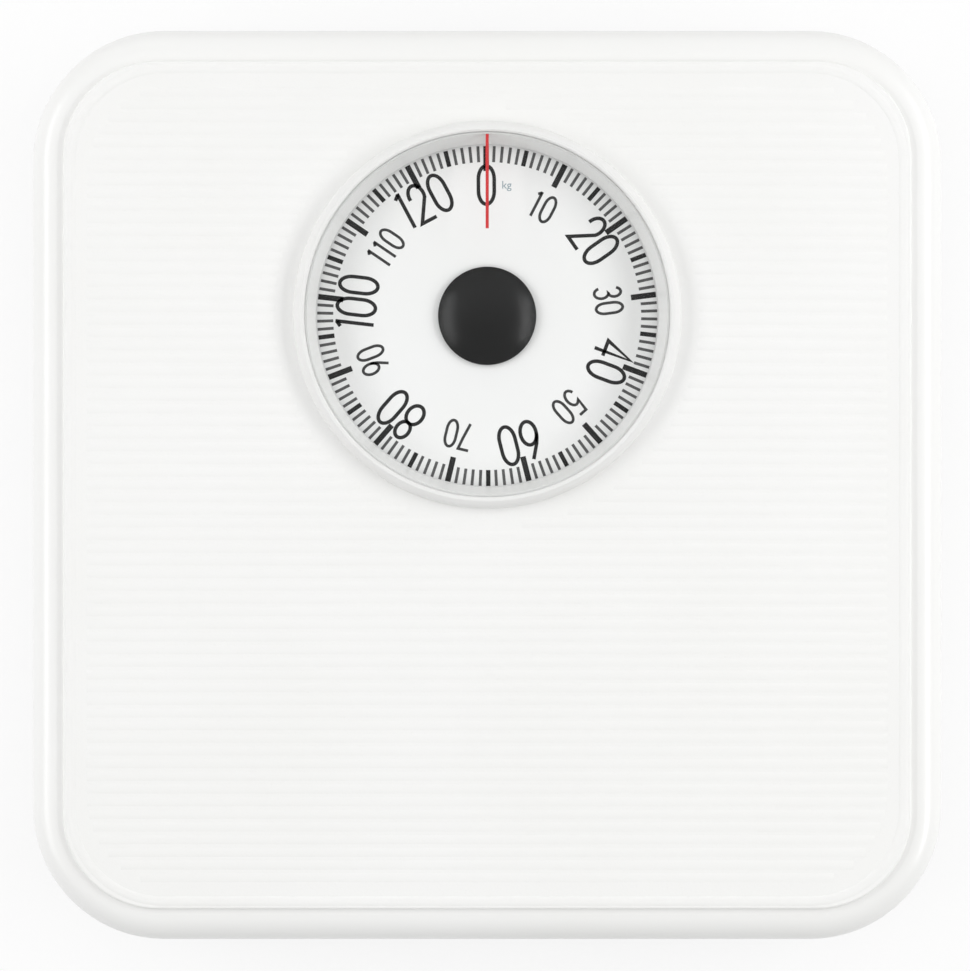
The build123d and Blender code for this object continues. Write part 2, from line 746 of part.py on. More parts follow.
def rack():
    """The toothed bar, its fork for the crank's pin and its peg for the return spring."""
    bar = extrude(Pos(0, 0, rack_bottom) * make_face(Polyline(*rack_outline(), close=True)), rack_height)
    gap = drive_pin_radius + drive_slot_gap
    low = min(drive_pin_z - gap - fork_prong, rack_bottom)
    high = max(crank_z + rack_arm + drive_pin_radius + side_gap, rack_top)
    bar = bar + block(rack_root_x, rack_back_x, drive_pin_y - gap - fork_prong,
                      drive_pin_y + gap + fork_prong, low, high)
    bar = bar - block(rack_root_x - 1, rack_back_x + 1, drive_pin_y - gap, drive_pin_y + gap,
                      drive_pin_z - gap, high + 1)
    return bar + rod_along_y(return_peg_radius, rack_rear - return_peg, rack_rear, return_x, return_z)


def arm(length, angle, near, far):
    """A tapered arm from the origin with rounded ends."""
    tip = (length * cos(angle), length * sin(angle))
    side = (-sin(angle), cos(angle))
    outline = Polyline((near * side[0], near * side[1]), (tip[0] + far * side[0], tip[1] + far * side[1]),
                       (tip[0] - far * side[0], tip[1] - far * side[1]), (-near * side[0], -near * side[1]),
                       close=True)
    return make_face(outline) + Circle(near) + Pos(*tip) * Circle(far)


def bell_crank():
    """One arm drives the rack, the other feels the plate; both are drawn at rest."""
    upright = pi / 2 + half_sweep
    drive = Pos(rack_arm * cos(upright), rack_arm * sin(upright)) * Circle(drive_pin_radius)
    finger = Pos(plate_arm * cos(half_sweep), plate_arm * sin(half_sweep)) * Circle(finger_radius)
    face = arm(rack_arm, upright, crank_arm_half, 2 * drive_pin_radius)
    face = face + arm(plate_arm, half_sweep, crank_arm_half, finger_arm_half) + finger
    face = face + Circle(crank_hub_radius) - drive - Circle(crank_pivot_radius + running_gap)
    return Pos(crank_x, crank_y, crank_z) * extrude(Plane.YZ * face, crank_thickness)


def crank_drive_pin():
    return rod_along_x(drive_pin_radius, rack_root_x - seat_gap, crank_end_x, drive_pin_y, drive_pin_z)


def crank_bracket():
    y0, y1 = crank_y - crank_hub_radius, crank_y + crank_hub_radius
    bracket = block(left_ear[0], right_ear[1], y0, y1, tray_floor, tray_floor + bracket_thickness)
    for ear in (left_ear, right_ear):
        bracket = bracket + block(*ear, y0, y1, tray_floor, crank_z)
        bracket = bracket + rod_along_x(crank_hub_radius, *ear, crank_y, crank_z)
    return bracket - rod_along_x(crank_pivot_radius, left_ear[0] - 1, right_ear[1] + 1, crank_y, crank_z)


def crank_pivot_pin():
    pin = rod_along_x(crank_pivot_radius, left_ear[0], right_ear[1], crank_y, crank_z)
    head = crank_pivot_radius + crank_pin_head
    pin = pin + rod_along_x(head, left_ear[0] - crank_pin_head, left_ear[0], crank_y, crank_z)
    return pin + rod_along_x(head, right_ear[1], right_ear[1] + crank_pin_head, crank_y, crank_z)


def dial_bridge():
    """A deck on four bent legs, with a post and a peg for the rack's return spring."""
    under = bridge_top - bridge_thickness
    bridge = block(-bridge_half, bridge_half, bridge_back_y, bridge_front_y, under, bridge_top)
    inner = bridge_half - bridge_thickness
    for s in (-1, 1):
        for y in (bridge_back_y, bridge_front_y - bridge_leg):
            leg = block(s * inner, s * bridge_half, y, y + bridge_leg, tray_floor, bridge_top)
            foot = block(s * inner, s * (bridge_half + bridge_leg), y, y + bridge_leg,
                         tray_floor, tray_floor + bridge_thickness)
            bridge = bridge + leg + foot
    window = block(bridge_border - bridge_half, return_x - return_post, bridge_back_y + bridge_web,
                   dial_y - bridge_web, under - 1, bridge_top + 1)
    bridge = bridge - window - rod(bush_radius, under - 1, bridge_top + 1, 0, dial_y)
    bridge = bridge - holes_through_floor(screw_places, screw_shank)
    half = return_post / 2
    post = block(return_x - half, return_x + half, post_y - return_post, post_y, under, rack_top)
    return bridge + post + rod_along_y(return_peg_radius, post_y, post_y + return_peg, return_x, return_z)


def rack_guide():
    """A rail beside the rack, whose lip keeps the rack down."""
    x0 = rack_back_x + seat_gap / 2
    y0 = dial_y - guide_length / 2
    y1 = dial_y + guide_length / 2
    lip = rack_top + seat_gap
    rail = block(x0, x0 + guide_width, y0, y1, bridge_top, lip + guide_lip)
    return rail + block(x0 - guide_overhang, x0 + guide_width, y0, y1, lip, lip + guide_lip)


def spring_tower():
    """An arch over the zero wheel; slots in its cheeks guide the plate and the hanger nut."""
    outer = tower_half + tower_thickness
    y0 = spring_y - tower_depth / 2
    y1 = min(spring_y + tower_depth / 2, tray_depth / 2 - tray_bend)
    tower = block(-outer, outer, y0, y1, tray_floor, tower_top)
    tower = tower - block(-tower_half, tower_half, y0 - 1, y1 + 1,
                          tray_floor - 1, tower_top - tower_thickness)
    for s in (-1, 1):
        tower = tower + block(s * tower_half, s * (outer + tower_foot), y0, y1,
                              tray_floor, tray_floor + tower_thickness)
    ear = ear_half + side_gap
    slots = [(plate_low, plate_top), (hanger_bottom - screw_travel, hanger_top + screw_travel)]
    for low, high in slots:
        tower = tower - block(-2 * outer, 2 * outer, spring_y - ear, spring_y + ear,
                              low - side_gap, high + side_gap)
    bore = rod(screw_radius + running_gap, tower_top - 2 * tower_thickness, tower_top + 1, 0, spring_y)
    return tower - bore - holes_through_floor(screw_places, screw_shank)


def eared_bar(y0, y1, z0, z1):
    """A bar across the tower, with an ear at each end that runs in the cheeks' slots."""
    half = tower_half - side_gap
    reach = tower_half + tower_thickness + ear_reach
    ears = block(-reach, reach, spring_y - ear_half, spring_y + ear_half, z0, z1)
    return block(-half, half, y0, y1, z0, z1) + ears


def calibrating_plate():
    """The levers press it down; a tongue reaches back over the crank's finger."""
    plate = eared_bar(nose_y - plate_margin, spring_y + plate_front, plate_bottom, plate_top)
    middle = (crank_x + crank_end_x) / 2
    plate = plate + block(middle - plate_tongue_half, middle + plate_tongue_half, tongue_end, nose_y,
                          plate_bottom, plate_top)
    plate = plate + rod(plug_radius, plate_top, plate_top + spring_plug, 0, spring_y)
    return plate - rod(screw_radius + side_gap, plate_bottom - 1, plate_top + spring_plug + 1, 0, spring_y)


def hanger_nut():
    """The nut that the spring hangs from; its ears keep it from turning."""
    nut = eared_bar(spring_y - hanger_depth / 2, spring_y + hanger_depth / 2, hanger_bottom, hanger_top)
    nut = nut + rod(plug_radius, hanger_bottom - spring_plug, hanger_bottom, 0, spring_y)
    bore = rod(screw_radius + running_gap, hanger_bottom - spring_plug - 1, hanger_top + 1, 0, spring_y)
    return nut - bore


def adjusting_screw():
    screw = rod(screw_radius, wheel_bottom, tower_top + running_gap, 0, spring_y)
    screw = screw + rod(screw_head_radius, tower_top + running_gap, tower_top + screw_head, 0, spring_y)
    tip = rod(screw_radius - screw_tip_step, tray_floor + running_gap, wheel_bottom, 0, spring_y)
    return screw + tip


def screw_foot_bush():
    bush = rod(screw_radius + bush_wall, tray_floor, wheel_bottom - seat_gap, 0, spring_y)
    return bush - rod(screw_radius - screw_tip_step + running_gap, tray_floor - 1, wheel_bottom, 0, spring_y)


def zero_wheel():
    """A fluted thumb wheel with a dished web."""
    wheel = rod(wheel_radius, wheel_bottom, wheel_top)
    wheel = chamfer(top_edges(wheel) + bottom_edges(wheel), wheel_edge)
    dish = rod(wheel_radius - wheel_rim, wheel_top - wheel_dish, wheel_top + 1)
    wheel = wheel - (dish - rod(wheel_hub, wheel_top - wheel_dish, wheel_top + 1))
    flute = Pos(0, 0, (wheel_bottom + wheel_top) / 2) * Cylinder(wheel_flute_radius, 2 * wheel_thickness)
    wheel = wheel - PolarLocations(wheel_radius + wheel_flute_radius / 3, wheel_flutes) * flute
    return Pos(0, spring_y, 0) * (wheel - rod(screw_radius, wheel_bottom - 1, wheel_top + 1))


def biarc(p0, t0, p1, t1):
    """Two tangent arcs from one end and direction to another."""
    v = p1 - p0
    a = 2 * (1 - t0.dot(t1))
    b = v.dot(t0 + t1)
    d = (sqrt(b * b + a * v.dot(v)) - b) / a
    q0 = p0 + t0 * d
    q1 = p1 - t1 * d
    joint = (q0 + q1) * 0.5
    turning = (q1 - q0).normalized()
    return joint, [TangentArc(p0, joint, tangent=t0), TangentArc(joint, p1, tangent=turning)]


def coil(name, mean_radius, wire, turns, pitch, steps):
    """An open coil about Z from height 0, in so many steps to a turn, with straight ends."""
    rise = pitch / (2 * pi * mean_radius)

    def at(angle):
        return Vector(mean_radius * cos(angle), mean_radius * sin(angle), pitch * angle / (2 * pi))

    def heading(angle):
        return Vector(-sin(angle), cos(angle), rise).normalized()

    angles = [2 * pi * k / steps for k in range(turns * steps + 1)]
    edges = [Line(at(0) - heading(0) * wire, at(0))]
    points = []
    for a0, a1 in zip(angles, angles[1:]):
        joint, arcs = biarc(at(a0), heading(a0), at(a1), heading(a1))
        edges += arcs
        points += [at(a0), joint]
    edges.append(Line(at(angles[-1]), at(angles[-1]) + heading(angles[-1]) * wire))
    path = Wire(edges)
    tube = sweep(Plane(origin=path @ 0, z_dir=path % 0) * Circle(wire / 2), path=path)
    near_turn = 2 * steps - 1
    gaps = [(p - q).length - wire for i, p in enumerate(points) for q in points[i + near_turn:]]
    print(f"{name}: {turns} turns of {wire} mm wire, least gap to itself {min(gaps):.2f} mm")
    return tube


def main_spring():
    """Its top stays clear of the nut's bar by as far as the nut can come down."""
    room = hanger_bottom - screw_travel - plate_top - spring_wire - 2 * seat_gap
    body = coil("main spring", spring_mean_radius, spring_wire, spring_turns, room / spring_turns, 4)
    return Pos(0, spring_y, plate_top + seat_gap + spring_wire / 2) * body


def rack_return_spring():
    body = coil("rack return spring", return_mean_radius, return_wire, return_turns, return_pitch, 2)
    return Pos(return_x, post_y + return_wire, return_z) * Rot(-90, 0, 0) * body


def tray_screws():
    """Pan-head screws driven up through the tray's floor, with crossed recesses."""
    head_z = foot_height - screw_top
    recess = head_z + screw_slot
    half = screw_top_radius / 2
    screws = []
    for x, y in screw_places:
        head = fillet(bottom_edges(rod(screw_top_radius, head_z, foot_height, x, y)), screw_top / 2)
        screw = head + rod(screw_shank, foot_height, tray_floor + 2 * bridge_thickness, x, y)
        for dx, dy in ((half, screw_slot / 2), (screw_slot / 2, half)):
            screw = screw - block(x - dx, x + dx, y - dy, y + dy, head_z - 1, recess)
        screws.append(screw)
    return both_sides(screws)


long_pin = load_pin(rear_fulcrum, long_heading)
short_pin = load_pin(front_fulcrum, short_heading)

parts = {
    "base_tray": base_tray(),
    "rubber_feet": rubber_feet(),
    "fulcrum_brackets": fulcrum_brackets(),
    "fulcrum_pins": fulcrum_pins(),
    "bracket_rivets": bracket_rivets(),
    "tray_screws": tray_screws(),
    "dial_bridge": dial_bridge(),
    "arbor_bush": arbor_bush(),
    "rack_guide": rack_guide(),
    "crank_bracket": crank_bracket(),
    "crank_pivot_pin": crank_pivot_pin(),
    "spring_tower": spring_tower(),
    "screw_foot_bush": screw_foot_bush(),
    "main_spring": main_spring(),
    "rack_return_spring": rack_return_spring(),
    "platform_shell": platform_shell(),
    "foot_mat": foot_mat(),
    "dial_bezel": dial_bezel(),
    "bezel_lock_ring": bezel_lock_ring(),
    "lens_seal": lens_seal(),
    "lens": lens(),
    "red_pointer": red_pointer(),
    "load_brackets": load_brackets(),
    "hook_rivets": hook_rivets(),
    "long_lever_right": long_lever(),
    "long_lever_left": mirrored(long_lever()),
    "short_lever_right": short_lever(),
    "short_lever_left": mirrored(short_lever()),
    "long_load_pin_right": long_pin,
    "long_load_pin_left": mirrored(long_pin),
    "short_load_pin_right": short_pin,
    "short_load_pin_left": mirrored(short_pin),
    "nose_saddle_right": nose_saddle(),
    "nose_saddle_left": mirrored(nose_saddle()),
    "calibrating_plate": calibrating_plate(),
    "plate_saddles": plate_saddles(),
    "bell_crank": bell_crank(),
    "crank_drive_pin": crank_drive_pin(),
    "rack": rack(),
    "dial_disc": dial_disc(),
    "disc_collar": disc_collar(),
    "dial_arbor": dial_arbor(),
    "dial_pinion": dial_pinion(),
    "hub_cap": hub_cap(),
    "zero_wheel": zero_wheel(),
    "adjusting_screw": adjusting_screw(),
    "hanger_nut": hanger_nut(),
}

for name, shape in parts.items():
    export_step(shape, f"parts/{name}.step")
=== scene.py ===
import json
import math

import bpy
from mathutils import Matrix, Vector


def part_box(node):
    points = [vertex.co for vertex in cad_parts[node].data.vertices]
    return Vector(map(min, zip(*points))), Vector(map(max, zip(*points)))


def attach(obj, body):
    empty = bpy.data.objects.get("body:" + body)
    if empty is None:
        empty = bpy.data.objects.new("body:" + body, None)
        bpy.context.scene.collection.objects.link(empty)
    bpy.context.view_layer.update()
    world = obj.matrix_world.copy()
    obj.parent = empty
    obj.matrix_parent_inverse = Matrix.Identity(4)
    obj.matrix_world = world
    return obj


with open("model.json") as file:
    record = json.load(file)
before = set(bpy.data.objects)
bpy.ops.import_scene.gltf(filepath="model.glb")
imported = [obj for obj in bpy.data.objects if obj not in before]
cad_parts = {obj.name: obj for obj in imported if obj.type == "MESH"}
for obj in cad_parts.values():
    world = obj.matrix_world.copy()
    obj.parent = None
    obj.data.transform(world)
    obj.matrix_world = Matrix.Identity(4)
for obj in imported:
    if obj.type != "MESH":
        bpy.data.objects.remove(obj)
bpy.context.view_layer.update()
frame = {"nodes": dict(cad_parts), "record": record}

print("frame loaded:", len(frame["nodes"]), "nodes")

mm = 0.001
white = (1, 1, 1, 1)

# where the frame's pieces stand
hubLow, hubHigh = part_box("hub_cap")
dialX = (hubLow[0] + hubHigh[0]) / 2
dialY = (hubLow[1] + hubHigh[1]) / 2
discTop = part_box("dial_disc")[1][2]
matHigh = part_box("foot_mat")[1]


# camera: straight above, with the dial high in the picture

cameraSettings = {
    "pictureWidth": 970,
    "millimetresPerPixel": 0.318,  # at the dial's face
    "aboveDial": 850 * mm,
    "x": -0.69 * mm,
    "y": -0.19 * mm,
    "clipStart": 10 * mm,
    "clipEnd": 30,
}


def placeCamera():
    settings = cameraSettings
    spot = (settings["x"], settings["y"], discTop + settings["aboveDial"])
    bpy.ops.object.camera_add(location=spot, rotation=(0, 0, 0))
    camera = bpy.context.object
    camera.name = "cameraAbove"
    seenWidth = settings["pictureWidth"] * settings["millimetresPerPixel"] * mm
    camera.data.sensor_fit = "HORIZONTAL"
    camera.data.angle = 2 * math.atan(seenWidth / 2 / settings["aboveDial"])
    camera.data.clip_start = settings["clipStart"]
    camera.data.clip_end = settings["clipEnd"]
    bpy.context.scene.camera = camera


placeCamera()
print("camera placed")


# light and floor

# lengths here are in metres
lightSettings = {
    "skyLight": 0.5,  # what lights the object
    "skyShown": 1,  # what is seen, plain white
    "softboxes": {  # two low and long ones at the sides, a broad weak one over the far edge
        "softboxLeft": {"place": (-1.15, 0.05, 0.76), "long": 1.5, "high": 0.42, "power": 7.9},
        "softboxRight": {"place": (1.15, 0.05, 0.76), "long": 1.5, "high": 0.42, "power": 9.2},
        "softboxFar": {"place": (0.0, 1.7, 1.6), "long": 4.0, "high": 4.0, "power": 18.0},
    },
    "floorSize": 8,
    "floorTone": 0.75,
    "whiteShare": 0.72,  # of the floor near the object, as it is seen; the rest keeps the shadow
    "whiteStrength": 1.08,
    "whiteFrom": 0.25,  # from the middle of the floor, where the share starts to grow
    "whiteTo": 1.0,  # where all of the floor is seen white
}


def raysThatSeeBackground(nodes, links):
    paths = nodes.new("ShaderNodeLightPath")
    sharp = nodes.new("ShaderNodeMath")
    sharp.operation = "MAXIMUM"
    links.new(paths.outputs["Is Camera Ray"], sharp.inputs[0])
    links.new(paths.outputs["Is Glossy Ray"], sharp.inputs[1])
    every = nodes.new("ShaderNodeMath")
    every.operation = "MAXIMUM"
    links.new(sharp.outputs[0], every.inputs[0])
    links.new(paths.outputs["Is Transmission Ray"], every.inputs[1])
    return every.outputs[0]


def addSky():
    sky = bpy.data.worlds.new("paleStudio")
    sky.use_nodes = True
    bpy.context.scene.world = sky
    nodes, links = sky.node_tree.nodes, sky.node_tree.links
    nodes.clear()
    output = nodes.new("ShaderNodeOutputWorld")
    light = nodes.new("ShaderNodeBackground")
    light.inputs["Color"].default_value = white
    light.inputs["Strength"].default_value = lightSettings["skyLight"]
    shown = nodes.new("ShaderNodeBackground")
    shown.inputs["Color"].default_value = white
    shown.inputs["Strength"].default_value = lightSettings["skyShown"]
    choice = nodes.new("ShaderNodeMixShader")
    links.new(raysThatSeeBackground(nodes, links), choice.inputs[0])
    links.new(light.outputs[0], choice.inputs[1])
    links.new(shown.outputs[0], choice.inputs[2])
    links.new(choice.outputs[0], output.inputs["Surface"])


def addSoftboxes():
    target = Vector((dialX, dialY, discTop))
    for name, box in lightSettings["softboxes"].items():
        place = Vector(box["place"])
        turn = (target - place).to_track_quat("-Z", "Y").to_euler()
        bpy.ops.object.light_add(type="AREA", location=place, rotation=turn)
        lamp = bpy.context.object
        lamp.name = name
        lamp.data.shape = "RECTANGLE"
        lamp.data.size = box["long"]
        lamp.data.size_y = box["high"]
        lamp.data.energy = box["power"]


def addFloor():
    bpy.ops.mesh.primitive_plane_add(size=lightSettings["floorSize"], location=(0, 0, 0))
    floor = bpy.context.object
    floor.name = "studioFloor"
    paint = bpy.data.materials.new("floorWhite")
    paint.use_nodes = True
    nodes, links = paint.node_tree.nodes, paint.node_tree.links
    nodes.clear()
    output = nodes.new("ShaderNodeOutputMaterial")
    matt = nodes.new("ShaderNodeBsdfDiffuse")
    tone = lightSettings["floorTone"]
    matt.inputs["Color"].default_value = (tone, tone, tone, 1)
    glow = nodes.new("ShaderNodeEmission")
    glow.inputs["Color"].default_value = white
    glow.inputs["Strength"].default_value = lightSettings["whiteStrength"]
    place = nodes.new("ShaderNodeTexCoord")
    away = nodes.new("ShaderNodeVectorMath")
    away.operation = "LENGTH"
    links.new(place.outputs["Object"], away.inputs[0])
    grows = nodes.new("ShaderNodeMapRange")
    grows.interpolation_type = "SMOOTHSTEP"
    grows.inputs["From Min"].default_value = lightSettings["whiteFrom"]
    grows.inputs["From Max"].default_value = lightSettings["whiteTo"]
    grows.inputs["To Min"].default_value = lightSettings["whiteShare"]
    grows.inputs["To Max"].default_value = 1
    links.new(away.outputs["Value"], grows.inputs["Value"])
    share = nodes.new("ShaderNodeMath")
    share.operation = "MULTIPLY"
    links.new(raysThatSeeBackground(nodes, links), share.inputs[0])
    links.new(grows.outputs["Result"], share.inputs[1])
    choice = nodes.new("ShaderNodeMixShader")
    links.new(share.outputs[0], choice.inputs[0])
    links.new(matt.outputs[0], choice.inputs[1])
    links.new(glow.outputs[0], choice.inputs[2])
    links.new(choice.outputs[0], output.inputs["Surface"])
    floor.data.materials.append(paint)


addSky()
addSoftboxes()
addFloor()
bpy.context.scene.view_settings.view_transform = "Standard"
print("light and floor set")


# finishes: each has two near tints, a range of gloss and a grain, all read in the object's own place

surfaceSettings = {  # what all finishes share
    "noiseLow": 0.3,  # the noise seldom leaves these two bounds
    "noiseHigh": 0.7,
    "cloudDetail": 4,
    "speckDetail": 2,
    "speckFrom": 0.55,
    "speckTo": 0.8,
    "dustScale": 55,
    "dustDetail": 3,
    "dustLeast": 0.2,
    "glossDetail": 3,
    "coatRough": 0.12,
    "cellSmooth": 0.6,
}

plainLook = {  # what a finish has where it doesn't say otherwise
    "metal": 0, "shine": 0.5, "coat": 0, "cloudScale": 30,
    "speckShare": 0.5, "glossScale": 60, "stretch": (1, 1, 1),
    "grain": "noise", "grainDetail": 3, "grainStrength": 0.5,
}


def addNoise(nodes, links, space, scale, detail, kind="noise"):
    if kind == "cells":
        noise = nodes.new("ShaderNodeTexVoronoi")
        noise.feature = "SMOOTH_F1"
        noise.inputs["Smoothness"].default_value = surfaceSettings["cellSmooth"]
    else:
        noise = nodes.new("ShaderNodeTexNoise")
        noise.inputs["Detail"].default_value = detail
    noise.inputs["Scale"].default_value = scale
    links.new(space, noise.inputs["Vector"])
    return noise.outputs["Distance" if kind == "cells" else "Fac"]


def spread(nodes, links, value, low, high,
           fromLow=surfaceSettings["noiseLow"], fromHigh=surfaceSettings["noiseHigh"]):
    between = nodes.new("ShaderNodeMapRange")
    between.interpolation_type = "SMOOTHSTEP"
    between.inputs["From Min"].default_value = fromLow
    between.inputs["From Max"].default_value = fromHigh
    between.inputs["To Min"].default_value = low
    between.inputs["To Max"].default_value = high
    links.new(value, between.inputs["Value"])
    return between.outputs["Result"]


def blendTints(nodes, links, share, first, second):
    blend = nodes.new("ShaderNodeMix")
    blend.data_type = "RGBA"
    links.new(share, blend.inputs[0])
    if hasattr(first, "is_linked"):  # a socket rather than a colour
        links.new(first, blend.inputs[6])
    else:
        blend.inputs[6].default_value = (*first, 1)
    blend.inputs[7].default_value = (*second, 1)
    return blend.outputs[2]


def makeFinish(name, look):
    shared = surfaceSettings
    look = {**plainLook, **look}
    finish = bpy.data.materials.new(name)
    finish.use_nodes = True
    nodes, links = finish.node_tree.nodes, finish.node_tree.links
    shader = nodes["Principled BSDF"]
    shader.inputs["Metallic"].default_value = look["metal"]
    shader.inputs["Specular IOR Level"].default_value = look["shine"]
    shader.inputs["Coat Weight"].default_value = look["coat"]
    shader.inputs["Coat Roughness"].default_value = shared["coatRough"]
    place = nodes.new("ShaderNodeTexCoord")
    drawn = nodes.new("ShaderNodeMapping")
    drawn.inputs["Scale"].default_value = look["stretch"]
    links.new(place.outputs["Object"], drawn.inputs["Vector"])
    plain, stretched = place.outputs["Object"], drawn.outputs["Vector"]

    cloud = addNoise(nodes, links, plain, look["cloudScale"], shared["cloudDetail"])
    colour = blendTints(nodes, links, spread(nodes, links, cloud, 0, 1), look["colour"], look["tint"])
    if "speck" in look:  # fine specks, as in pigment or plating
        specks = addNoise(nodes, links, stretched, look["speckScale"], shared["speckDetail"])
        share = spread(nodes, links, specks, 0, look["speckShare"],
                       shared["speckFrom"], shared["speckTo"])
        colour = blendTints(nodes, links, share, colour, look["speck"])
    if "dustHeight" in look:  # floor dust, thicker towards the bottom
        height = nodes.new("ShaderNodeSeparateXYZ")
        links.new(plain, height.inputs[0])
        low = spread(nodes, links, height.outputs["Z"], look["dustShare"], 0, 0, look["dustHeight"])
        broken = addNoise(nodes, links, plain, shared["dustScale"], shared["dustDetail"])
        patchy = nodes.new("ShaderNodeMath")
        patchy.operation = "MULTIPLY"
        links.new(low, patchy.inputs[0])
        links.new(spread(nodes, links, broken, shared["dustLeast"], 1), patchy.inputs[1])
        colour = blendTints(nodes, links, patchy.outputs[0], colour, look["dust"])
    links.new(colour, shader.inputs["Base Color"])

    gloss = addNoise(nodes, links, stretched, look["glossScale"], shared["glossDetail"])
    links.new(spread(nodes, links, gloss, *look["rough"]), shader.inputs["Roughness"])

    grain = addNoise(nodes, links, stretched, look["grainScale"], look["grainDetail"], look["grain"])
    relief = nodes.new("ShaderNodeBump")
    relief.inputs["Strength"].default_value = look["grainStrength"]
    relief.inputs["Distance"].default_value = look["grainHeight"]
    links.new(grain, relief.inputs["Height"])
    links.new(relief.outputs["Normal"], shader.inputs["Normal"])
    return finish


def makeClearLens(look):
    clear = bpy.data.materials.new("clearAcrylic")
    clear.use_nodes = True
    nodes, links = clear.node_tree.nodes, clear.node_tree.links
    nodes.clear()
    output = nodes.new("ShaderNodeOutputMaterial")
    through = nodes.new("ShaderNodeBsdfTransparent")
    through.inputs["Color"].default_value = look["tint"]
    mirror = nodes.new("ShaderNodeBsdfGlossy")
    mirror.inputs["Color"].default_value = white
    edge = nodes.new("ShaderNodeFresnel")
    edge.inputs["IOR"].default_value = look["index"]
    place = nodes.new("ShaderNodeTexCoord")
    wiped = addNoise(nodes, links, place.outputs["Object"], look["wipeScale"], look["wipeDetail"])
    links.new(spread(nodes, links, wiped, *look["rough"]), mirror.inputs["Roughness"])
    wall = nodes.new("ShaderNodeNewGeometry")
    outer = nodes.new("ShaderNodeMath")  # the wall's inner side doesn't mirror
    outer.operation = "SUBTRACT"
    outer.inputs[0].default_value = 1
    links.new(wall.outputs["Backfacing"], outer.inputs[1])
    share = nodes.new("ShaderNodeMath")
    share.operation = "MULTIPLY"
    links.new(edge.outputs[0], share.inputs[0])
    links.new(outer.outputs[0], share.inputs[1])
    choice = nodes.new("ShaderNodeMixShader")
    links.new(share.outputs[0], choice.inputs[0])
    links.new(through.outputs[0], choice.inputs[1])
    links.new(mirror.outputs[0], choice.inputs[2])
    links.new(choice.outputs[0], output.inputs["Surface"])
    return clear


